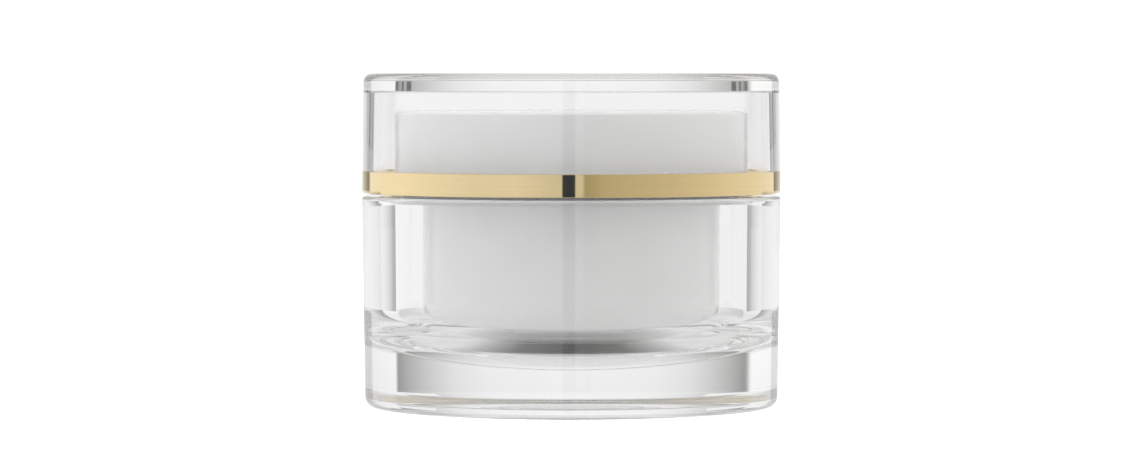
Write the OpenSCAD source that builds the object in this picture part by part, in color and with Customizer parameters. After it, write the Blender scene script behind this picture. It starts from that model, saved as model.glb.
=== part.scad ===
// Cosmetic cream jar with double walls.
// A clear outer jar with a thick base holds a white cup that hangs in an air gap.
// A clear lid shell holds a white inner cap, which screws onto the cup's neck, and a
// gold band closes the lid's lower edge. A foam liner and a lift-out disc seal the cup.
// Millimetres, +Z up, origin at the middle of the foot. The lid is drawn screwed shut.

/* [Closed jar] */
// Outer diameter where the jar and the lid meet
outer_d = 60.4; // [60:0.2:64]
// Height of the closed jar
total_h = 48; // [47:0.5:56]

/* [Clear outer jar] */
// Height of the clear jar up to its rim
jar_h = 30.4; // [29.6:0.2:31]
// How much smaller the radius is at the foot than at the rim
jar_draft = 0.4; // [0:0.1:0.8]
// Thickness of the clear wall beside the air gap
jar_wall = 4.9; // [4.2:0.1:5.2]
// Thickness of the solid base in its middle
base_t = 5.8; // [5:0.1:7.5]
// Radius of the sphere that hollows the floor of the air gap
floor_sphere_r = 80; // [60:5:200]
// Rounding between the air gap's wall and its floor
floor_corner_r = 6; // [4:0.2:6.4]
// Rounding of the foot
foot_r = 1.5; // [0.8:0.1:2.2]
// Rounding of the rim
rim_r = 0.5; // [0.2:0.1:0.8]
// Radius of the moulding recess in the middle of the foot
gate_r = 7.1; // [5:0.1:9]

/* [White inner cup] */
// Outer diameter of the cup's body
cup_d = 42.8; // [42.4:0.1:43.2]
// Wall of the cup
cup_wall = 1.2; // [1:0.1:1.4]
// Height of the underside of the cup above the table
cup_z = 10; // [9.5:0.1:14]
// Rounding of the cup's lower edge
cup_corner_r = 5.4; // [3:0.1:6]
// Thickness of the flange that lies on the jar's ledge
flange_t = 0.9; // [0.7:0.1:1.2]
// Height of the neck above the jar's rim
neck_h = 9.5; // [9.2:0.1:9.5]

/* [Thread] */
// Number of thread starts
thread_starts = 4; // [3:1:4]
// Rise of the lid in one full turn
thread_lead = 12; // [9:1:12]
// Turn that each ridge covers
ridge_sweep = 120; // [90:5:120]

/* [Lid] */
// Thickness of the clear top plate
top_plate_t = 2.5; // [1.5:0.1:3.5]
// Thickness of the clear wall of the lid
lid_wall = 1.6; // [1.4:0.1:1.8]
// How much smaller the radii of the lid's wall are at its top than at the band
lid_draft = 0.25; // [0:0.05:0.5]
// Rounding of the lid's upper edge
lid_r = 1.2; // [0.6:0.1:1.6]
// Gap between the jar's rim and the gold band
band_gap = 0.4; // [0.3:0.05:0.5]
// Height of the gold band
band_h = 3.25; // [2.5:0.25:5]
// Outer diameter of the white inner cap
cap_d = 51; // [50.8:0.1:51.6]
// Height of the inner cap's top above the table
cap_top_z = 42.7; // [42.6:0.1:43.2]
// Thickness of the foam liner under the inner cap
liner_t = 1.2; // [1:0.1:1.25]

/* [Sealing disc] */
// Depth of the disc's dish below its flange
dish_depth = 2; // [1.5:0.1:4]
// Length of the grip across the dish
grip_l = 13; // [8:1:20]

/* [Hidden] */
$fn = 144;
arc_steps = 8;            // straight steps in a rounded corner of an outline
clear = 0.1;              // gap between pieces that are fixed together
slide_clear = 0.2;        // gap beside the lift-out disc
outer_r = outer_d / 2;
cup_r = cup_d / 2;
bore_r = cup_r - cup_wall;
cavity_r = outer_r - jar_wall;
ledge_r = cavity_r + 0.9;             // counterbore for the cup's flange
ledge_z = jar_h - flange_t;
hollow_h = 0.2;                       // the foot stands on a ring, its middle is raised
hollow_r = outer_r - 5.2;
gate_h = 0.6;
gate_rim = 1.7;                       // width of the step round the moulding recess
shoulder_r = 24.2;                    // raised step at the root of the neck
shoulder_h = 0.55;
neck_r = 22.7;
neck_top_z = jar_h + neck_h;
mouth_r = bore_r + 1.1;               // wider mouth that takes the disc's flange
mouth_depth = 1.6;
cap_r = cap_d / 2;
cap_bore_r = 24.15;
cap_ceiling_z = neck_top_z + clear + liner_t + 0.05;
cap_z = jar_h + shoulder_h + 0.15;    // lower edge of the inner cap
cap_foot_t = 0.9;                     // flange that centres the cap in the shell
band_z = jar_h + band_gap;
band_top_z = band_z + band_h;
band_t = 0.75;
band_edge_r = 0.12;
shell_in_r = outer_r - lid_wall - 0.1;
shell_corner_r = 0.3;
ridge_h = 1.15;                       // radial height of a thread ridge
ridge_root = 0.3;                     // depth of a ridge's root inside its wall
ridge_pitch = thread_lead / thread_starts;
ridge_root_half = 0.25 * ridge_pitch;
ridge_crest_half = 0.12 * ridge_pitch;
ridge_z = jar_h + 3;                  // middle of each neck ridge at its lower end
ridge_step = 5;                       // degrees between rings of a ridge
ridge_start = ridge_step / 2;         // angle at which the first neck ridge starts
cap_ridge_drop = 0.45 * ridge_pitch;  // cap ridges run this far under the neck's
cap_ridge_inset = 10;                 // degrees that a cap ridge is shorter at each end
disc_t = 0.95;
disc_z = neck_top_z - mouth_depth + 0.05;
dish_wall = 0.7;

// Points of an arc in an outline: [radius, height], centre, radius and two angles.
function arc(centre, r, from, to) =
    [for (i = [0:arc_steps]) let (a = from + (to - from) * i / arc_steps)
        centre + r * [cos(a), sin(a)]];

// A body of revolution from an outline of [radius, height] points.
module lathe(outline) {
    rotate_extrude() polygon(outline);
}

// A helical ridge of one thread start, which fades out at both ends.
module ridge(root_r, crest_r, z, sweep) {
    steps = ceil(sweep / ridge_step);
    outward = crest_r > root_r;
    function fade(i) = max(0.05, min(1, i / 3, (steps - i) / 3));
    function section(i) = let (tip = root_r + (crest_r - root_r) * fade(i))
        [[root_r, -ridge_root_half], [tip, -ridge_crest_half],
         [tip, ridge_crest_half], [root_r, ridge_root_half]];
    function ring(i) = let (s = section(i), a = sweep * i / steps)
        [for (j = [0:3]) let (p = s[outward ? j : 3 - j])
            [p[0] * cos(a), p[0] * sin(a), z + thread_lead * a / 360 + p[1]]];
    points = [for (i = [0:steps]) each ring(i)];
    sides = [for (i = [0:steps - 1], j = [0:3])
        let (a = 4 * i + j, b = 4 * i + (j + 1) % 4)
        each [[a, b, b + 4], [a, b + 4, a + 4]]];
    last = 4 * steps;
    polyhedron(points, concat(sides, [[3, 2, 1, 0], [last, last + 1, last + 2, last + 3]]));
}

// One ridge for each thread start.
module ridges(root_r, crest_r, z, sweep, start_angle) {
    for (k = [0:thread_starts - 1])
        rotate(start_angle + 360 / thread_starts * k) ridge(root_r, crest_r, z, sweep);
}

// Clear jar: drafted wall, thick base, ledge for the cup's flange, dished cavity floor.
module outer_jar() {
    foot_wall_r = outer_r - jar_draft;
    corner_x = cavity_r - floor_corner_r;
    sphere_z = base_t + floor_sphere_r;
    reach = floor_sphere_r - floor_corner_r;
    corner_z = sphere_z - sqrt(reach * reach - corner_x * corner_x);
    meet_angle = asin(corner_x / reach);
    color([0.88, 0.9, 0.9, 0.35]) lathe(concat(
        [[0, gate_h], [gate_r, gate_h], [gate_r, gate_h - hollow_h],
         [gate_r + gate_rim, gate_h - hollow_h], [gate_r + gate_rim, hollow_h],
         [hollow_r, hollow_h], [hollow_r + hollow_h, 0]],
        arc([foot_wall_r - foot_r, foot_r], foot_r, -90, 0),
        arc([outer_r - rim_r, jar_h - rim_r], rim_r, 0, 90),
        [[ledge_r, jar_h], [ledge_r, ledge_z], [cavity_r, ledge_z]],
        arc([corner_x, corner_z], floor_corner_r, 0, meet_angle - 90),
        arc([0, sphere_z], floor_sphere_r, meet_angle - 90, -90)));
}

// White cup with its flange, shoulder, threaded neck and a mouth stepped for the disc.
module inner_cup() {
    inner_corner_r = cup_corner_r - cup_wall;
    color([0.93, 0.93, 0.93]) union() {
        lathe(concat(
            [[0, cup_z]],
            arc([cup_r - cup_corner_r, cup_z + cup_corner_r], cup_corner_r, -90, 0),
            [[cup_r, ledge_z], [ledge_r - clear, ledge_z], [ledge_r - clear, jar_h],
             [shoulder_r, jar_h], [shoulder_r, jar_h + shoulder_h],
             [neck_r, jar_h + shoulder_h]],
            arc([neck_r - 0.4, neck_top_z - 0.4], 0.4, 0, 90),
            arc([mouth_r + 0.3, neck_top_z - 0.3], 0.3, 90, 180),
            [[mouth_r, neck_top_z - mouth_depth], [bore_r, neck_top_z - mouth_depth]],
            arc([bore_r - inner_corner_r, cup_z + cup_corner_r], inner_corner_r, 0, -90),
            [[0, cup_z + cup_wall]]));
        ridges(neck_r - ridge_root, neck_r + ridge_h, ridge_z, ridge_sweep,
               ridge_start);
    }
}

// Clear lid shell: thick top plate, thin wall, and a spigot that the gold band covers.
module lid_shell() {
    spigot_r = outer_r - band_t - clear;
    top_r = outer_r - lid_draft;
    ceiling_z = total_h - top_plate_t;
    color([0.88, 0.9, 0.9, 0.35]) lathe(concat(
        [[0, ceiling_z]],
        arc([shell_in_r - lid_draft - shell_corner_r, ceiling_z - shell_corner_r],
            shell_corner_r, 90, 0),
        [[shell_in_r, band_z + clear], [spigot_r, band_z + clear],
         [spigot_r, band_top_z + 0.05], [outer_r - 0.05, band_top_z + 0.05]],
        arc([top_r - lid_r, total_h - lid_r], lid_r, 0, 90),
        [[0, total_h]]));
}

// White inner cap: threaded skirt, flat top, and a foot flange inside the clear shell.
module inner_cap() {
    foot_flange_r = shell_in_r - clear;
    crest_r = cap_bore_r - ridge_h + 0.05;
    color([0.95, 0.95, 0.95]) union() {
        lathe(concat(
            [[cap_bore_r, cap_z], [foot_flange_r, cap_z],
             [foot_flange_r, cap_z + cap_foot_t], [cap_r, cap_z + cap_foot_t]],
            arc([cap_r - 0.6, cap_top_z - 0.6], 0.6, 0, 90),
            [[0, cap_top_z], [0, cap_ceiling_z], [cap_bore_r, cap_ceiling_z]]));
        ridges(cap_bore_r + ridge_root, crest_r,
               ridge_z - cap_ridge_drop + thread_lead * cap_ridge_inset / 360,
               ridge_sweep - 2 * cap_ridge_inset, ridge_start + cap_ridge_inset);
    }
}

// Gold band: a plain ring round the shell's spigot, flush with the walls.
module gold_band() {
    band_in_r = outer_r - band_t;
    color([0.85, 0.7, 0.42]) lathe(concat(
        [[band_in_r, band_z]],
        arc([outer_r - band_edge_r, band_z + band_edge_r], band_edge_r, -90, 0),
        arc([outer_r - band_edge_r, band_top_z - band_edge_r], band_edge_r, 0, 90),
        [[band_in_r, band_top_z]]));
}

// Foam liner that presses on the neck's rim.
module lid_liner() {
    color([0.97, 0.97, 0.95]) translate([0, 0, neck_top_z + clear])
        cylinder(r = cap_bore_r - 0.25, h = liner_t);
}

// Lift-out disc: flange on the step in the mouth, a dish below it, and a grip across it.
module sealing_disc() {
    dish_r = bore_r - slide_clear;
    floor_z = disc_z - dish_depth;
    flange_r = mouth_r - slide_clear;
    color([0.9, 0.92, 0.93]) union() {
        lathe(concat(
            [[0, floor_z], [dish_r - 0.5, floor_z], [dish_r, floor_z + 0.5], [dish_r, disc_z]],
            arc([flange_r - 0.25, disc_z + 0.25], 0.25, -90, 0),
            arc([flange_r - 0.25, disc_z + disc_t - 0.25], 0.25, 0, 90),
            [[dish_r - dish_wall, disc_z + disc_t], [dish_r - dish_wall, floor_z + dish_wall],
             [0, floor_z + dish_wall]]));
        translate([-grip_l / 2, -0.6, floor_z + dish_wall - 0.1])
            cube([grip_l, 1.2, dish_depth + 0.1]);
        for (side = [-1, 1]) translate([side * grip_l / 2, 0, floor_z + dish_wall - 0.1])
            cylinder(r = 0.6, h = dish_depth + 0.1);
        translate([0, 0, floor_z + dish_wall - 0.1]) cylinder(r = 2.6, h = 0.7);
    }
}

outer_jar();
inner_cup();
lid_shell();
inner_cap();
gold_band();
lid_liner();
sealing_disc();
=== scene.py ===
import math

import bmesh
import bpy
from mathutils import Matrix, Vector


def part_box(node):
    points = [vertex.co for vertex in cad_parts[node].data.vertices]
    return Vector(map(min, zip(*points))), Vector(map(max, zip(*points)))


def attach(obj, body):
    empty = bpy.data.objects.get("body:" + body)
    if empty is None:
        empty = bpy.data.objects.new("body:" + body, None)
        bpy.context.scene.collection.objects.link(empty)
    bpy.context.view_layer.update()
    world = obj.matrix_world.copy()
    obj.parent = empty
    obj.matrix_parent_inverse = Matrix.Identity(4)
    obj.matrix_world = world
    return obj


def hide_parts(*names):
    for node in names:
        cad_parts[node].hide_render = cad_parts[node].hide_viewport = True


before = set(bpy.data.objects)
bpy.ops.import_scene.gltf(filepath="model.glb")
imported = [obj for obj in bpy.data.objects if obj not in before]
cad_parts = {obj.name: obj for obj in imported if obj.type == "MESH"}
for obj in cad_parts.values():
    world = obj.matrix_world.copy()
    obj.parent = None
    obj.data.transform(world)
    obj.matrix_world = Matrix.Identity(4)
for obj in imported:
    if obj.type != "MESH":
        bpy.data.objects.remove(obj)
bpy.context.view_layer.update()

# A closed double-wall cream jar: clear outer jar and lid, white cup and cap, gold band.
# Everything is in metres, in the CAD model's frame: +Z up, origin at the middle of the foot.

MM = 0.001


def span(node):
    """A round CAD node's outer radius, and its lowest and highest point."""
    low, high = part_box(node)
    return high.x, low.z, high.z


# Sizes read from the frame.
OUTER_R, _, TOP_Z = span("lid_shell")
JAR_R, _, RIM_Z = span("outer_jar")
FLANGE_R, CUP_Z, NECK_TOP_Z = span("inner_cup")
CAP_FOOT_R, CAP_Z, CAP_TOP_Z = span("inner_cap")
BAND_R, BAND_Z, BAND_TOP_Z = span("gold_band")
LINER_R, LINER_Z, LINER_TOP_Z = span("lid_liner")
DISC_R, DISC_Z, DISC_TOP_Z = span("sealing_disc")

# Clear jar.
JAR_WALL = 4.9 * MM
JAR_DRAFT = 0.4 * MM
BASE_T = 5.8 * MM
FLOOR_SPHERE_R = 80 * MM
FLOOR_CORNER_R = 6.0 * MM
FOOT_R = 1.5 * MM
RIM_R = 0.5 * MM
GATE_R = 7.1 * MM
GATE_RIM = 1.7 * MM
GATE_H = 0.6 * MM
HOLLOW_H = 0.2 * MM
HOLLOW_INSET = 5.2 * MM
FROST_R = 9 * MM          # the moulding recess is frosted inside this radius
FROST_ROUGH = 0.3
FROST_TOP = 1.1 * GATE_H  # and below this height

# White cup and its neck.
CUP_R = 21.4 * MM
CUP_WALL = 1.2 * MM
CUP_CORNER_R = 5.4 * MM
FLANGE_T = 0.9 * MM
SHOULDER_R = 24.2 * MM
SHOULDER_H = 0.55 * MM
SEAT_GAP = 0.04 * MM      # air under the flange, which lets light reach it
NECK_R = 22.7 * MM
MOUTH_STEP = 1.1 * MM
MOUTH_DEPTH = 1.6 * MM

# Four-start thread.
THREAD_STARTS = 4
THREAD_LEAD = 12 * MM
RIDGE_H = 1.15 * MM
RIDGE_ROOT_HALF = 0.75 * MM
RIDGE_CREST_HALF = 0.36 * MM
RIDGE_RISE = 3 * MM
RIDGE_SWEEP = 120
RIDGE_START = 2.5
CAP_RIDGE_DROP = 1.35 * MM
CAP_RIDGE_INSET = 10
RIDGE_FADE = 14
CAP_RIDGE_H = RIDGE_H - 0.05 * MM

# Clear lid, white cap and gold band.
TOP_PLATE_T = 2.5 * MM
LID_DRAFT = 0.25 * MM
LID_R = 1.2 * MM
SHELL_IN_R = 28.5 * MM
SHELL_CORNER_R = 0.3 * MM
BAND_T = 0.75 * MM
BAND_EDGE_R = 0.12 * MM
GAP = 0.1 * MM
CAP_R = 25.5 * MM
CAP_BORE_R = 24.15 * MM
CAP_CORNER_R = 0.6 * MM
CAP_FOOT_T = 0.9 * MM

# Lift-out disc.
DISC_T = 0.95 * MM
DISH_R = 20.0 * MM
DISH_WALL = 0.7 * MM
GRIP_L = 13 * MM
GRIP_HALF = 0.6 * MM
GRIP_BOSS_R = 2.6 * MM
GRIP_BOSS_H = 0.7 * MM
GRIP_ROOT = 0.1 * MM         # how far the grip reaches into the dish's floor
GRIP_BEVEL = 0.15 * MM

# Fineness of the meshes.
TURNS = 288
ARC_STEPS = 10
JAR_TURNS = 576          # the jar refracts light strongly, so its mesh is finer
JAR_ARC_STEPS = 50
THREAD_ROWS = 72
GUARD = 0.03 * MM
SHARP_ANGLE = math.radians(28)


# ---------------------------------------------------------------- outlines and lathes

def arc(x, z, radius, start, end, steps=ARC_STEPS):
    """Points of an arc in an outline, from one angle to another in degrees."""
    points = []
    for i in range(steps + 1):
        a = math.radians(start + (end - start) * i / steps)
        points.append((x + radius * math.cos(a), z + radius * math.sin(a)))
    return points


def guarded(outline):
    """The outline with a point near both ends of each long straight run, for clean shading."""
    points = []
    for (x0, z0), (x1, z1) in zip(outline, outline[1:]):
        points.append((x0, z0))
        length = math.hypot(x1 - x0, z1 - z0)
        if length > 8 * GUARD:
            t = GUARD / length
            points.append((x0 + (x1 - x0) * t, z0 + (z1 - z0) * t))
            points.append((x1 + (x0 - x1) * t, z1 + (z0 - z1) * t))
    points.append(outline[-1])
    return [p for i, p in enumerate(points) if i == 0 or math.dist(p, points[i - 1]) > 1e-7]


def lathe(name, outline, closed=False, shift=None, turns=TURNS):
    """Revolve an outline of (radius, height) points into one smooth mesh object.

    An open outline starts and ends on the axis. shift(angle, radius, height) gives the
    radius that a point takes at an angle, which is how threads are raised.
    """
    outline = guarded(list(outline) + ([outline[0]] if closed else []))
    if closed:
        outline = outline[:-1]
    mesh = bmesh.new()
    rings = []
    for radius, height in outline:
        if radius < 1e-7:
            rings.append([mesh.verts.new((0, 0, height))])
            continue
        ring = []
        for k in range(turns):
            a = 2 * math.pi * k / turns
            r = shift(a, radius, height) if shift else radius
            ring.append(mesh.verts.new((r * math.cos(a), r * math.sin(a), height)))
        rings.append(ring)
    pairs = list(zip(rings, rings[1:]))
    if closed:
        pairs.append((rings[-1], rings[0]))
    for low, high in pairs:
        for k in range(turns):
            n = (k + 1) % turns
            if len(low) == 1:
                mesh.faces.new((low[0], high[n], high[k]))
            elif len(high) == 1:
                mesh.faces.new((low[k], low[n], high[0]))
            else:
                mesh.faces.new((low[k], low[n], high[n], high[k]))
    bmesh.ops.recalc_face_normals(mesh, faces=mesh.faces)
    for face in mesh.faces:
        face.smooth = True
    for edge in mesh.edges:
        if len(edge.link_faces) == 2 and edge.calc_face_angle(0.0) > SHARP_ANGLE:
            edge.smooth = False
    data = bpy.data.meshes.new(name)
    mesh.to_mesh(data)
    mesh.free()
    piece = bpy.data.objects.new(name, data)
    bpy.context.scene.collection.objects.link(piece)
    return piece


def rows(radius, low, high, count):
    """A straight wall of an outline cut into rows, so that a thread can be raised from it."""
    return [(radius, low + (high - low) * i / count) for i in range(count + 1)]


def ridge_height(angle, height, start_z, start_angle, sweep):
    """Height of the thread ridges above their wall at an angle and a height."""
    best = 0.0
    for k in range(THREAD_STARTS):
        along = (math.degrees(angle) - start_angle - 360 / THREAD_STARTS * k) % 360
        if along > sweep:
            continue
        middle = start_z + THREAD_LEAD * along / 360
        off = abs(height - middle)
        flank = (RIDGE_ROOT_HALF - off) / (RIDGE_ROOT_HALF - RIDGE_CREST_HALF)
        flank = min(1.0, max(0.0, flank))
        fade = min(1.0, along / RIDGE_FADE, (sweep - along) / RIDGE_FADE)
        fade = math.sin(fade * math.pi / 2)
        best = max(best, RIDGE_H * fade * flank * flank * (3 - 2 * flank))
    return best


# ---------------------------------------------------------------- materials

def node_adder(tree):
    """A helper that adds a node to a tree; a socket given as an input is linked."""
    def add(kind, inputs=None, **settings):
        node = tree.nodes.new(kind)
        for key, value in settings.items():
            setattr(node, key, value)
        for key, value in (inputs or {}).items():
            if isinstance(value, bpy.types.NodeSocket):
                tree.links.new(value, node.inputs[key])
            else:
                node.inputs[key].default_value = value
        return node
    return add


def new_material(name):
    """A node material, with its tree, its shader and a helper that adds nodes."""
    material = bpy.data.materials.new(name)
    material.use_nodes = True
    tree = material.node_tree
    return material, tree, tree.nodes["Principled BSDF"], node_adder(tree)


def ramp(add, source, stops):
    """A colour ramp of (position, colour) stops driven by a socket."""
    node = add("ShaderNodeValToRGB", {"Fac": source})
    band = node.color_ramp
    while len(band.elements) < len(stops):
        band.elements.new(0.5)
    for element, (position, colour) in zip(band.elements, stops):
        element.position = position
        element.color = (*colour, 1.0)
    return node.outputs["Color"]


def clear_acrylic(name, frost_top):
    """Polished clear acrylic with faint flow marks, frosted under a height near the axis."""
    material, tree, shader, add = new_material(name)
    place = add("ShaderNodeTexCoord").outputs["Object"]
    flow = add("ShaderNodeTexNoise", {"Vector": place, "Scale": 60.0, "Detail": 3.0})
    parts = add("ShaderNodeSeparateXYZ", {0: place})
    flat = add("ShaderNodeCombineXYZ", {0: parts.outputs[0], 1: parts.outputs[1]})
    off = add("ShaderNodeVectorMath", {0: flat.outputs[0]}, operation="LENGTH").outputs["Value"]
    near = add("ShaderNodeMath", {0: off, 1: FROST_R}, operation="LESS_THAN").outputs[0]
    low = add("ShaderNodeMath", {0: parts.outputs[2], 1: frost_top}, operation="LESS_THAN").outputs[0]
    frost = add("ShaderNodeMath", {0: near, 1: low}, operation="MULTIPLY").outputs[0]
    haze = add("ShaderNodeMath", {0: frost, 1: FROST_ROUGH}, operation="MULTIPLY").outputs[0]
    shader.inputs["Base Color"].default_value = (0.995, 0.995, 0.995, 1)
    shader.inputs["Transmission Weight"].default_value = 1.0
    shader.inputs["IOR"].default_value = 1.491
    rough = add("ShaderNodeMapRange", {"Value": flow.outputs["Fac"], "To Min": 0.0, "To Max": 0.01})
    total = add("ShaderNodeMath", {0: rough.outputs["Result"], 1: haze}, operation="ADD")
    tree.links.new(total.outputs[0], shader.inputs["Roughness"])
    return material


def white_plastic():
    """Glossy white moulded plastic with a faint orange peel."""
    material, tree, shader, add = new_material("white_plastic")
    place = add("ShaderNodeTexCoord").outputs["Object"]
    cloud = add("ShaderNodeTexNoise", {"Vector": place, "Scale": 90.0, "Detail": 4.0})
    tint = ramp(add, cloud.outputs["Fac"], [(0.3, (0.91, 0.91, 0.907)), (0.7, (0.94, 0.94, 0.938))])
    tree.links.new(tint, shader.inputs["Base Color"])
    shader.inputs["IOR"].default_value = 1.5
    rough = add("ShaderNodeMapRange", {"Value": cloud.outputs["Fac"], "To Min": 0.1, "To Max": 0.18})
    tree.links.new(rough.outputs["Result"], shader.inputs["Roughness"])
    peel = add("ShaderNodeTexNoise", {"Vector": place, "Scale": 900.0, "Detail": 2.0})
    bump = add("ShaderNodeBump", {"Height": peel.outputs["Fac"], "Strength": 0.05,
                                  "Distance": 0.02 * MM})
    tree.links.new(bump.outputs["Normal"], shader.inputs["Normal"])
    return material


def gold_metal():
    """Mirror-polished gold anodised metal with a faint turned grain."""
    material, tree, shader, add = new_material("gold_metal")
    place = add("ShaderNodeTexCoord").outputs["Object"]
    grain = add("ShaderNodeMapping", {"Vector": place, "Scale": (60.0, 60.0, 6000.0)})
    lines = add("ShaderNodeTexNoise", {"Vector": grain.outputs["Vector"], "Scale": 1.0,
                                       "Detail": 2.0})
    tint = ramp(add, lines.outputs["Fac"], [(0.3, (0.86, 0.69, 0.39)), (0.7, (0.89, 0.72, 0.42))])
    tree.links.new(tint, shader.inputs["Base Color"])
    shader.inputs["Metallic"].default_value = 1.0
    rough = add("ShaderNodeMapRange", {"Value": lines.outputs["Fac"], "To Min": 0.03, "To Max": 0.06})
    tree.links.new(rough.outputs["Result"], shader.inputs["Roughness"])
    return material


def liner_foam():
    """White closed-cell foam with fine cells."""
    material, tree, shader, add = new_material("liner_foam")
    place = add("ShaderNodeTexCoord").outputs["Object"]
    cells = add("ShaderNodeTexVoronoi", {"Vector": place, "Scale": 3000.0})
    # The colour is darker in the middle of each cell, where the bump sinks: painted shade in the cell
    # pits.
    tint = ramp(add, cells.outputs["Distance"], [(0.0, (0.8, 0.8, 0.78)), (0.6, (0.9, 0.9, 0.88))])
    tree.links.new(tint, shader.inputs["Base Color"])
    shader.inputs["Roughness"].default_value = 0.7
    bump = add("ShaderNodeBump", {"Height": cells.outputs["Distance"], "Strength": 0.3,
                                  "Distance": 0.05 * MM})
    tree.links.new(bump.outputs["Normal"], shader.inputs["Normal"])
    return material


def disc_plastic():
    """Satin natural polyethylene, slightly translucent."""
    material, tree, shader, add = new_material("disc_plastic")
    place = add("ShaderNodeTexCoord").outputs["Object"]
    cloud = add("ShaderNodeTexNoise", {"Vector": place, "Scale": 220.0, "Detail": 4.0})
    tint = ramp(add, cloud.outputs["Fac"], [(0.3, (0.8, 0.82, 0.83)), (0.7, (0.86, 0.88, 0.89))])
    tree.links.new(tint, shader.inputs["Base Color"])
    rough = add("ShaderNodeMapRange", {"Value": cloud.outputs["Fac"], "To Min": 0.35, "To Max": 0.5})
    tree.links.new(rough.outputs["Result"], shader.inputs["Roughness"])
    shader.inputs["Transmission Weight"].default_value = 0.15
    return material


# ---------------------------------------------------------------- the pieces

def finish_piece(piece, material, body, node):
    """Give a piece its material and its body, and hide the CAD node that it stands for."""
    piece.data.materials.append(material)
    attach(piece, body)
    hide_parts(node)


def make_jar(material):
    """The clear jar: drafted wall, thick base with a dished floor, ledge in the mouth."""
    foot_wall_r = JAR_R - JAR_DRAFT
    cavity_r = JAR_R - JAR_WALL
    ledge_r = FLANGE_R + GAP
    corner_x = cavity_r - FLOOR_CORNER_R
    sphere_z = BASE_T + FLOOR_SPHERE_R
    reach = FLOOR_SPHERE_R - FLOOR_CORNER_R
    corner_z = sphere_z - math.sqrt(reach ** 2 - corner_x ** 2)
    meet = math.degrees(math.asin(corner_x / reach))
    gate_step = GATE_H - HOLLOW_H
    outline = [(0, GATE_H), (GATE_R, GATE_H), (GATE_R, gate_step),
               (GATE_R + GATE_RIM, gate_step), (GATE_R + GATE_RIM, HOLLOW_H),
               (JAR_R - HOLLOW_INSET, HOLLOW_H), (JAR_R - HOLLOW_INSET + HOLLOW_H, 0)]
    outline += arc(foot_wall_r - FOOT_R, FOOT_R, FOOT_R, -90, 0)
    outline += arc(JAR_R - RIM_R, RIM_Z - RIM_R, RIM_R, 0, 90)
    outline += [(ledge_r, RIM_Z), (ledge_r, RIM_Z - FLANGE_T), (cavity_r, RIM_Z - FLANGE_T)]
    outline += arc(corner_x, corner_z, FLOOR_CORNER_R, 0, meet - 90, JAR_ARC_STEPS)
    outline += arc(0, sphere_z, FLOOR_SPHERE_R, meet - 90, -90, JAR_ARC_STEPS)
    outline[-1] = (0, BASE_T)
    piece = lathe("clear_jar", outline, turns=JAR_TURNS)
    finish_piece(piece, material, "jar", "outer_jar")


def make_cup(material):
    """The white cup: body, flange, shoulder, threaded neck and stepped mouth."""
    bore_r = CUP_R - CUP_WALL
    mouth_r = bore_r + MOUTH_STEP
    inner_corner_r = CUP_CORNER_R - CUP_WALL
    shoulder_z = RIM_Z + SHOULDER_H
    flange_z = RIM_Z - FLANGE_T + SEAT_GAP
    lip = 0.4 * MM
    mouth_lip = 0.3 * MM

    def shift(angle, radius, height):
        if abs(radius - NECK_R) > 1e-7 or not shoulder_z < height < NECK_TOP_Z - lip:
            return radius
        return radius + ridge_height(angle, height, RIM_Z + RIDGE_RISE, RIDGE_START, RIDGE_SWEEP)

    outline = [(0, CUP_Z)]
    outline += arc(CUP_R - CUP_CORNER_R, CUP_Z + CUP_CORNER_R, CUP_CORNER_R, -90, 0)
    outline += [(CUP_R, flange_z), (FLANGE_R, flange_z), (FLANGE_R, RIM_Z)]
    outline += [(SHOULDER_R, RIM_Z), (SHOULDER_R, shoulder_z)]
    outline += rows(NECK_R, shoulder_z, NECK_TOP_Z - lip, THREAD_ROWS)
    outline += arc(NECK_R - lip, NECK_TOP_Z - lip, lip, 0, 90)[1:]
    outline += arc(mouth_r + mouth_lip, NECK_TOP_Z - mouth_lip, mouth_lip, 90, 180)
    outline += [(mouth_r, NECK_TOP_Z - MOUTH_DEPTH), (bore_r, NECK_TOP_Z - MOUTH_DEPTH)]
    outline += arc(bore_r - inner_corner_r, CUP_Z + CUP_CORNER_R, inner_corner_r, 0, -90)
    outline += [(0, CUP_Z + CUP_WALL)]
    piece = lathe("white_cup", outline, shift=shift)
    finish_piece(piece, material, "jar", "inner_cup")


def make_lid_shell(material):
    """The clear lid: thick top plate, thin wall, and a spigot inside the gold band."""
    spigot_r = BAND_R - BAND_T - GAP
    ceiling_z = TOP_Z - TOP_PLATE_T
    spigot_z = BAND_Z + GAP
    wall_z = BAND_TOP_Z + GAP / 2
    outline = [(0, ceiling_z)]
    outline += arc(SHELL_IN_R - LID_DRAFT - SHELL_CORNER_R, ceiling_z - SHELL_CORNER_R,
                   SHELL_CORNER_R, 90, 0)
    outline += [(SHELL_IN_R, spigot_z), (spigot_r, spigot_z), (spigot_r, wall_z), (OUTER_R, wall_z)]
    outline += arc(BAND_R - LID_DRAFT - LID_R, TOP_Z - LID_R, LID_R, 0, 90)
    outline += [(0, TOP_Z)]
    piece = lathe("clear_lid", outline)
    finish_piece(piece, material, "lid", "lid_shell")


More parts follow.
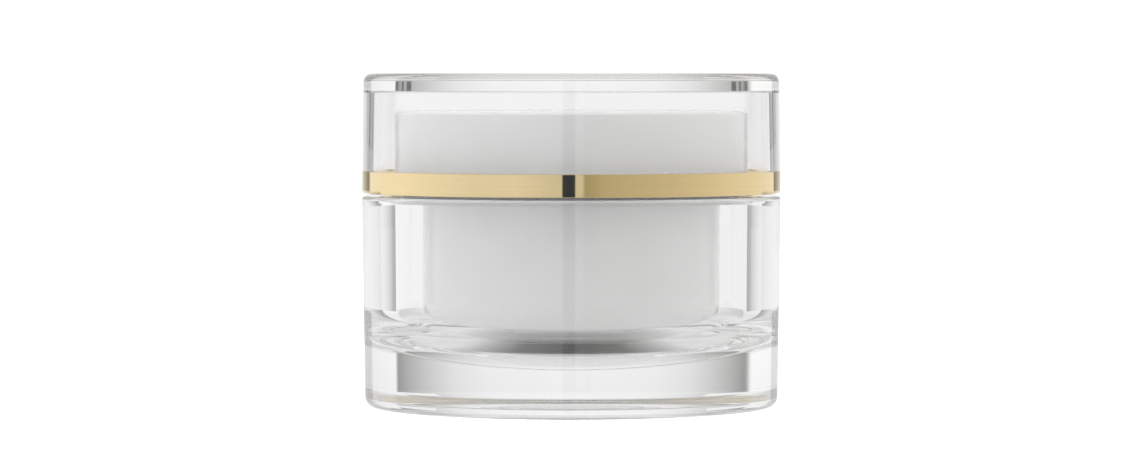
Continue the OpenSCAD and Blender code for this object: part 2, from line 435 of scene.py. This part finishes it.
def make_cap(material):
    """The white cap inside the lid: threaded skirt, flat top and foot flange."""
    ceiling_z = LINER_TOP_Z + GAP / 2

    def shift(angle, radius, height):
        if abs(radius - CAP_BORE_R) > 1e-7 or not CAP_Z < height < ceiling_z:
            return radius
        start_z = RIM_Z + RIDGE_RISE - CAP_RIDGE_DROP + THREAD_LEAD * CAP_RIDGE_INSET / 360
        start = RIDGE_START + CAP_RIDGE_INSET
        ridge = ridge_height(angle, height, start_z, start, RIDGE_SWEEP - 2 * CAP_RIDGE_INSET)
        return radius - ridge * CAP_RIDGE_H / RIDGE_H

    outline = rows(CAP_BORE_R, ceiling_z, CAP_Z, THREAD_ROWS)
    outline += [(CAP_FOOT_R, CAP_Z), (CAP_FOOT_R, CAP_Z + CAP_FOOT_T), (CAP_R, CAP_Z + CAP_FOOT_T)]
    outline += arc(CAP_R - CAP_CORNER_R, CAP_TOP_Z - CAP_CORNER_R, CAP_CORNER_R, 0, 90)
    outline += [(0, CAP_TOP_Z)]
    outline = [(0, ceiling_z)] + outline
    piece = lathe("white_cap", outline, shift=shift)
    finish_piece(piece, material, "lid", "inner_cap")


def make_band(material):
    """The gold ring, with rounded edges."""
    edge = BAND_EDGE_R
    outline = [(BAND_R - BAND_T, BAND_Z)]
    outline += arc(BAND_R - edge, BAND_Z + edge, edge, -90, 0)
    outline += arc(BAND_R - edge, BAND_TOP_Z - edge, edge, 0, 90)
    outline += [(BAND_R - BAND_T, BAND_TOP_Z)]
    piece = lathe("band_ring", outline, closed=True)
    finish_piece(piece, material, "lid", "gold_band")


def make_liner(material):
    """The foam disc under the cap, with soft cut edges."""
    edge = 0.15 * MM
    outline = [(0, LINER_Z)]
    outline += arc(LINER_R - edge, LINER_Z + edge, edge, -90, 0, 4)
    outline += arc(LINER_R - edge, LINER_TOP_Z - edge, edge, 0, 90, 4)
    outline += [(0, LINER_TOP_Z)]
    piece = lathe("foam_liner", outline)
    finish_piece(piece, material, "liner", "lid_liner")


def add_solid(mesh, footprint, low, high):
    """Add an upright solid over a footprint, with a small bevel round its upper edge."""
    levels = [(low, 0.0), (high - GRIP_BEVEL, 0.0), (high - 0.3 * GRIP_BEVEL, 0.3 * GRIP_BEVEL),
              (high, GRIP_BEVEL)]
    rings = []
    for z, inset in levels:
        rings.append([mesh.verts.new((x - nx * inset, y - ny * inset, z))
                      for x, y, nx, ny in footprint])
    count = len(footprint)
    for low_ring, high_ring in zip(rings, rings[1:]):
        for k in range(count):
            n = (k + 1) % count
            mesh.faces.new((low_ring[k], low_ring[n], high_ring[n], high_ring[k]))
    mesh.faces.new(rings[-1])
    mesh.faces.new(rings[0][::-1])


def add_grip(piece, low, high):
    """The grip bar with round ends across the dish, and the round boss under its middle."""
    bar = []
    for side in (1, -1):
        for i in range(ARC_STEPS + 1):
            a = math.radians(180 * i / ARC_STEPS - 90 if side > 0 else 180 * i / ARC_STEPS + 90)
            bar.append((side * GRIP_L / 2 + GRIP_HALF * math.cos(a), GRIP_HALF * math.sin(a),
                        math.cos(a), math.sin(a)))
    boss = []
    for i in range(4 * ARC_STEPS):
        a = 2 * math.pi * i / (4 * ARC_STEPS)
        boss.append((GRIP_BOSS_R * math.cos(a), GRIP_BOSS_R * math.sin(a), math.cos(a), math.sin(a)))
    mesh = bmesh.new()
    mesh.from_mesh(piece.data)
    add_solid(mesh, bar, low, high)
    add_solid(mesh, boss, low, low + GRIP_BOSS_H)
    mesh.to_mesh(piece.data)
    mesh.free()


def make_disc(material):
    """The lift-out disc: flange, dish, and a grip that crosses the dish."""
    flange_z = DISC_TOP_Z - DISC_T
    floor_z = DISC_Z + DISH_WALL
    edge = 0.25 * MM
    chamfer = 0.5 * MM
    outline = [(0, DISC_Z), (DISH_R - chamfer, DISC_Z), (DISH_R, DISC_Z + chamfer),
               (DISH_R, flange_z)]
    outline += arc(DISC_R - edge, flange_z + edge, edge, -90, 0, 5)
    outline += arc(DISC_R - edge, DISC_TOP_Z - edge, edge, 0, 90, 5)
    outline += [(DISH_R - DISH_WALL, DISC_TOP_Z), (DISH_R - DISH_WALL, floor_z), (0, floor_z)]
    piece = lathe("lift_disc", outline)
    add_grip(piece, floor_z - GRIP_ROOT, flange_z + DISH_WALL)
    finish_piece(piece, material, "disc", "sealing_disc")


# ---------------------------------------------------------------- studio

TENT_R = 266 * MM
TENT_H = 420 * MM
TENT_DEPTH = 266 * MM
SLIT_LEFT = 4.6          # degrees that the camera's slit opens to each side
SLIT_RIGHT = 2.0
# Brightness round the tent by angle from straight behind, left side negative.
TENT_STOPS = [(-175, 0.69), (-172, 0.69), (-151, 0.82), (-130, 0.82), (-80, 1.0), (-41.5, 1.0),
              (-38.8, 0.24), (-33, 0.41), (-26, 0.6), (-19, 0.8), (-12, 0.9), (0, 0.94),
              (12, 0.9), (19, 0.8), (26, 0.6), (33, 0.41), (38.8, 0.24), (39.2, 0.95), (46, 0.93),
              (87, 0.82), (128, 0.63), (163, 0.52), (173, 0.41), (174.5, 0.69), (178, 0.69)]
# The right side of the tent is warm in reflections: its green and blue parts, by angle.
WARM_STOPS = [(40, 1.0, 1.0), (87, 0.96, 0.89), (128, 0.955, 0.84), (163, 0.965, 0.78),
              (173, 0.955, 0.755), (174.5, 1.0, 1.0)]
# How the tent dims with height in mm as seen in reflections and through the clear walls.
HEIGHT_STOPS = [(-60, 0.85), (-20, 0.9), (0, 1.0), (60, 1.0), (120, 0.88), (420, 0.7)]
# Far below the table the tent is one even grey.
TABLE = 0.72
TABLE_FROM = -140 * MM
TABLE_TO = -200 * MM
# How the tent lights dull surfaces: by angle from behind near the table, and evenly overhead.
FILL_STOPS = [(-178, 0.85), (-130, 1.0), (-85, 1.3), (0, 1.12), (80, 1.12), (130, 0.95),
              (178, 0.85)]
FILL = 1.7
BARE = 0.8               # share of the tent's fill on surfaces with no clear wall before them
FILL_FROM = 60 * MM
FILL_TO = 150 * MM
# Two low white cards stand close behind the jar, from one angle to another.
CARD_R = 120 * MM
CARD_LOW = 8 * MM
CARD_HIGH = 28.5 * MM
CARD_STOPS = [(19, 0.9), (40, 0.88), (46, 0.86), (52, 0.78), (58, 0.6), (61, 0.4), (64, 0.36)]
# Dark posts of the backdrop's frame, seen through the lid's top plate: middle and width.
POST_R = 260 * MM
POST_LOW = 36 * MM
POST_HIGH = 60 * MM
POSTS = [(32.5, 1.9), (35.1, 0.9), (38.0, 1.5)]
POST_GREY = 0.1
CEILING = 0.65
BELOW = 0.7
FILL_BELOW = 1.1
SHADE_R = 28.6 * MM      # the dim patch of floor under the jar
SHADE_Z = -0.05 * MM
# Brightness of that patch by distance in mm to either side of the middle.
SHADE_STOPS = [(0, 0.1), (8, 0.16), (13, 0.4), (18, 0.72), (30, 0.78)]
SLIT = (0.041, 0.053, 0.082, 1.0)   # colour seen through the camera's slit
PAPER = 1.05             # brightness of the background as the camera sees it
OVER_FROM = 0.6          # how steep a ray is where the world's ceiling or floor starts
OVER_TO = 0.8
FLOOR_R = 3.0
FLOOR_GREY = 0.8
FLOOR_GLOW = 0.2         # how much the floor glows, and how much to the camera
FLOOR_GLOW_SEEN = 0.8


def grey(value):
    return (value, value, value, 1.0)


def angle_from_behind(add, x, y):
    """Angle from +Y towards +X, in degrees, of two sockets."""
    turn = add("ShaderNodeMath", {0: x, 1: y}, operation="ARCTAN2").outputs[0]
    return add("ShaderNodeMath", {0: turn, 1: 180 / math.pi}, operation="MULTIPLY").outputs[0]


def grey_ramp(add, angle, low, high, stops):
    """A grey ramp over a range of angles, from (angle, brightness) stops."""
    part = add("ShaderNodeMapRange", {"Value": angle, "From Min": low, "From Max": high})
    places = [((a - low) / (high - low), (b, b, b)) for a, b in stops]
    return ramp(add, part.outputs["Result"], places)


def warm_ramp(add, angle, low, high, stops):
    """A ramp of warm tints over a range of angles, from (angle, green, blue) stops."""
    part = add("ShaderNodeMapRange", {"Value": angle, "From Min": low, "From Max": high})
    places = [((a - low) / (high - low), (1.0, g, b)) for a, g, b in stops]
    return ramp(add, part.outputs["Result"], places)


def blend(add, factor, first, second):
    """A colour that goes from first to second as the factor goes from 0 to 1."""
    node = add("ShaderNodeMix", {"Factor": factor}, data_type="RGBA")
    for name, value in (("A", first), ("B", second)):
        socket = next(i for i in node.inputs if i.name == name and i.type == "RGBA")
        if isinstance(value, bpy.types.NodeSocket):
            node.id_data.links.new(value, socket)
        else:
            socket.default_value = value
    return next(o for o in node.outputs if o.type == "RGBA")


def flat_mesh(name, mesh):
    """An object of the stage, made from a bmesh."""
    data = bpy.data.meshes.new(name)
    mesh.to_mesh(data)
    mesh.free()
    item = bpy.data.objects.new(name, data)
    bpy.context.scene.collection.objects.link(item)
    return item


def glow_material(name, build):
    """A light-giving material of the stage whose colour comes from build(add)."""
    material = bpy.data.materials.new(name)
    material.use_nodes = True
    material.node_tree.nodes.clear()
    add = node_adder(material.node_tree)
    glow = add("ShaderNodeEmission", {"Color": build(add)})
    add("ShaderNodeOutputMaterial", {"Surface": glow.outputs[0]})
    return material


def place_parts(add):
    """The angle from behind and the height of a point on the stage."""
    place = add("ShaderNodeTexCoord").outputs["Object"]
    parts = add("ShaderNodeSeparateXYZ", {0: place})
    return angle_from_behind(add, parts.outputs[0], parts.outputs[1]), parts.outputs[2]


def tent_light(add):
    """Light that changes round the tent; dull surfaces also get soft light from overhead."""
    angle, height = place_parts(add)
    ring = grey_ramp(add, angle, -180, 180, TENT_STOPS)
    level = add("ShaderNodeMath", {0: height, 1: 1 / MM}, operation="MULTIPLY")
    dim = grey_ramp(add, level.outputs[0], HEIGHT_STOPS[0][0], HEIGHT_STOPS[-1][0], HEIGHT_STOPS)
    seen = add("ShaderNodeVectorMath", {0: ring, 1: dim}, operation="MULTIPLY")
    through = add("ShaderNodeLightPath").outputs["Is Transmission Ray"]
    warm = blend(add, through, warm_ramp(add, angle, -180, 180, WARM_STOPS), grey(1.0))
    seen = add("ShaderNodeVectorMath", {0: seen.outputs[0], 1: warm}, operation="MULTIPLY")
    down = add("ShaderNodeMapRange", {"Value": height, "From Min": TABLE_FROM, "From Max": TABLE_TO})
    seen = blend(add, down.outputs["Result"], seen.outputs[0], grey(TABLE))
    up = add("ShaderNodeMapRange", {"Value": height, "From Min": FILL_FROM, "From Max": FILL_TO})
    side = grey_ramp(add, angle, -180, 180, FILL_STOPS)
    fill = blend(add, up.outputs["Result"], side, grey(FILL))
    walls = add("ShaderNodeLightPath").outputs["Transmission Depth"]
    share = add("ShaderNodeMapRange", {"Value": walls, "To Min": BARE})
    fill = add("ShaderNodeVectorMath", {0: fill, "Scale": share.outputs["Result"]}, operation="SCALE")
    return blend(add, dull(add), seen, fill.outputs[0])


def dull(add):
    """1 for light that falls on a dull surface, and 0 for what is seen or reflected."""
    depth = add("ShaderNodeLightPath").outputs["Diffuse Depth"]
    return add("ShaderNodeMath", {0: depth, 1: 1.0}, operation="MINIMUM").outputs[0]


def card_light(add):
    """Light of the low cards, the same on both sides."""
    angle, _ = place_parts(add)
    off = add("ShaderNodeMath", {0: angle}, operation="ABSOLUTE")
    return grey_ramp(add, off.outputs[0], 0, 90, CARD_STOPS)


def add_wall(mesh, radius, low, high, start, end, step=1.0):
    """Part of a round wall, from one angle from behind to another."""
    last = None
    count = max(2, round((end - start) / step))
    for i in range(count + 1):
        a = math.radians(start + (end - start) * i / count)
        x, y = radius * math.sin(a), radius * math.cos(a)
        pair = (mesh.verts.new((x, y, low)), mesh.verts.new((x, y, high)))
        if last:
            mesh.faces.new((last[0], pair[0], pair[1], last[1]))
        last = pair


def make_tent():
    """A white tent wall round the jar with a slit for the camera, two low cards, and posts."""
    mesh = bmesh.new()
    add_wall(mesh, TENT_R, -TENT_DEPTH, TENT_H, SLIT_LEFT - 180, 180 - SLIT_RIGHT)
    tent = flat_mesh("tent", mesh)
    tent.data.materials.append(glow_material("tent", tent_light))
    mesh = bmesh.new()
    for side in (-1, 1):
        ends = sorted((side * CARD_STOPS[0][0], side * CARD_STOPS[-1][0]))
        add_wall(mesh, CARD_R, CARD_LOW, CARD_HIGH, *ends)
    cards = flat_mesh("cards", mesh)
    cards.data.materials.append(glow_material("cards", card_light))
    mesh = bmesh.new()
    for side in (-1, 1):
        for middle, width in POSTS:
            add_wall(mesh, POST_R, POST_LOW, POST_HIGH, side * middle - width / 2,
                     side * middle + width / 2)
    posts = flat_mesh("posts", mesh)
    material = glow_material("posts", lambda add: add("ShaderNodeRGB").outputs[0])
    material.node_tree.nodes["RGB"].outputs[0].default_value = grey(POST_GREY)
    posts.data.materials.append(material)
    for item in (tent, cards, posts):
        item.visible_camera = False


def make_floor():
    """A white floor, which is not seen through the clear walls."""
    mesh = bmesh.new()
    bmesh.ops.create_circle(mesh, cap_ends=True, segments=96, radius=FLOOR_R)
    floor = flat_mesh("floor", mesh)
    material, tree, shader, add = new_material("floor")
    shader.inputs["Base Color"].default_value = grey(FLOOR_GREY)
    shader.inputs["Roughness"].default_value = 0.9
    shader.inputs["Specular IOR Level"].default_value = 0.0
    shader.inputs["Emission Color"].default_value = grey(1.0)
    seen = add("ShaderNodeLightPath").outputs["Is Camera Ray"]
    glow = add("ShaderNodeMapRange", {"Value": seen, "To Min": FLOOR_GLOW,
                                      "To Max": FLOOR_GLOW_SEEN})
    tree.links.new(glow.outputs["Result"], shader.inputs["Emission Strength"])
    floor.data.materials.append(material)
    floor.visible_transmission = False
    floor.visible_glossy = False


def shade_light(add):
    """Light of the patch under the jar: dim in the middle and brighter to the sides."""
    place = add("ShaderNodeTexCoord").outputs["Object"]
    across = add("ShaderNodeSeparateXYZ", {0: place}).outputs[0]
    off = add("ShaderNodeMath", {0: across}, operation="ABSOLUTE").outputs[0]
    level = add("ShaderNodeMath", {0: off, 1: 1 / MM}, operation="MULTIPLY").outputs[0]
    seen = grey_ramp(add, level, SHADE_STOPS[0][0], SHADE_STOPS[-1][0], SHADE_STOPS)
    return blend(add, dull(add), seen, grey(FILL_BELOW))


def make_shade():
    """The dim patch of floor under the jar, seen only through its clear base."""
    mesh = bmesh.new()
    bmesh.ops.create_circle(mesh, cap_ends=True, segments=96, radius=SHADE_R)
    shade = flat_mesh("shade", mesh)
    shade.location.z = SHADE_Z
    shade.data.materials.append(glow_material("shade", shade_light))
    shade.visible_camera = False
    shade.visible_diffuse = False
    shade.visible_glossy = False
    shade.visible_shadow = False


def make_world():
    """White to the camera; overhead light, a dim floor and the dark slit to all other rays."""
    world = bpy.data.worlds.new("studio")
    bpy.context.scene.world = world
    world.use_nodes = True
    world.node_tree.nodes.clear()
    add = node_adder(world.node_tree)
    way = add("ShaderNodeTexCoord").outputs["Generated"]
    rise = add("ShaderNodeSeparateXYZ", {0: way}).outputs[2]
    up = add("ShaderNodeMapRange", {"Value": rise, "From Min": OVER_FROM, "From Max": OVER_TO})
    down = add("ShaderNodeMapRange", {"Value": rise, "From Min": -OVER_FROM, "From Max": -OVER_TO})
    over = blend(add, dull(add), grey(CEILING), grey(FILL))
    under = blend(add, dull(add), grey(BELOW), grey(FILL_BELOW))
    above = blend(add, up.outputs["Result"], SLIT, over)
    whole = blend(add, down.outputs["Result"], above, under)
    seen = add("ShaderNodeLightPath").outputs["Is Camera Ray"]
    shown = blend(add, seen, whole, grey(PAPER))
    glow = add("ShaderNodeBackground", {"Color": shown})
    add("ShaderNodeOutputWorld", {"Surface": glow.outputs[0]})


CAMERA_D = 690 * MM
CAMERA_Z = TOP_Z
AIM_Z = 26.12 * MM
AIM_X = -0.19 * MM
LENS = 151.0
CLEAR_BOUNCES = 64       # light is reflected many times inside the thick clear base


def make_camera():
    """The camera stands level with the lid's top and tips down to the jar's middle."""
    data = bpy.data.cameras.new("camera")
    data.lens = LENS
    data.clip_end = 50
    camera = bpy.data.objects.new("camera", data)
    camera.location = (AIM_X, -CAMERA_D, CAMERA_Z)
    aim = Vector((AIM_X, 0, AIM_Z)) - camera.location
    camera.rotation_euler = aim.to_track_quat("-Z", "Y").to_euler()
    bpy.context.scene.collection.objects.link(camera)
    bpy.context.scene.camera = camera


def set_render_look():
    """Plain colour, and enough bounces for light inside thick clear walls."""
    scene = bpy.context.scene
    scene.view_settings.view_transform = "Standard"
    scene.view_settings.look = "None"
    scene.cycles.max_bounces = CLEAR_BOUNCES
    scene.cycles.transmission_bounces = CLEAR_BOUNCES
    scene.cycles.glossy_bounces = CLEAR_BOUNCES
    scene.cycles.diffuse_bounces = 6


make_camera()
make_world()
make_tent()
make_floor()
make_shade()
set_render_look()

white = white_plastic()
make_jar(clear_acrylic("jar_acrylic", FROST_TOP))
make_cup(white)
make_lid_shell(clear_acrylic("lid_acrylic", 0.0))
make_cap(white)
make_band(gold_metal())
make_liner(liner_foam())
make_disc(disc_plastic())
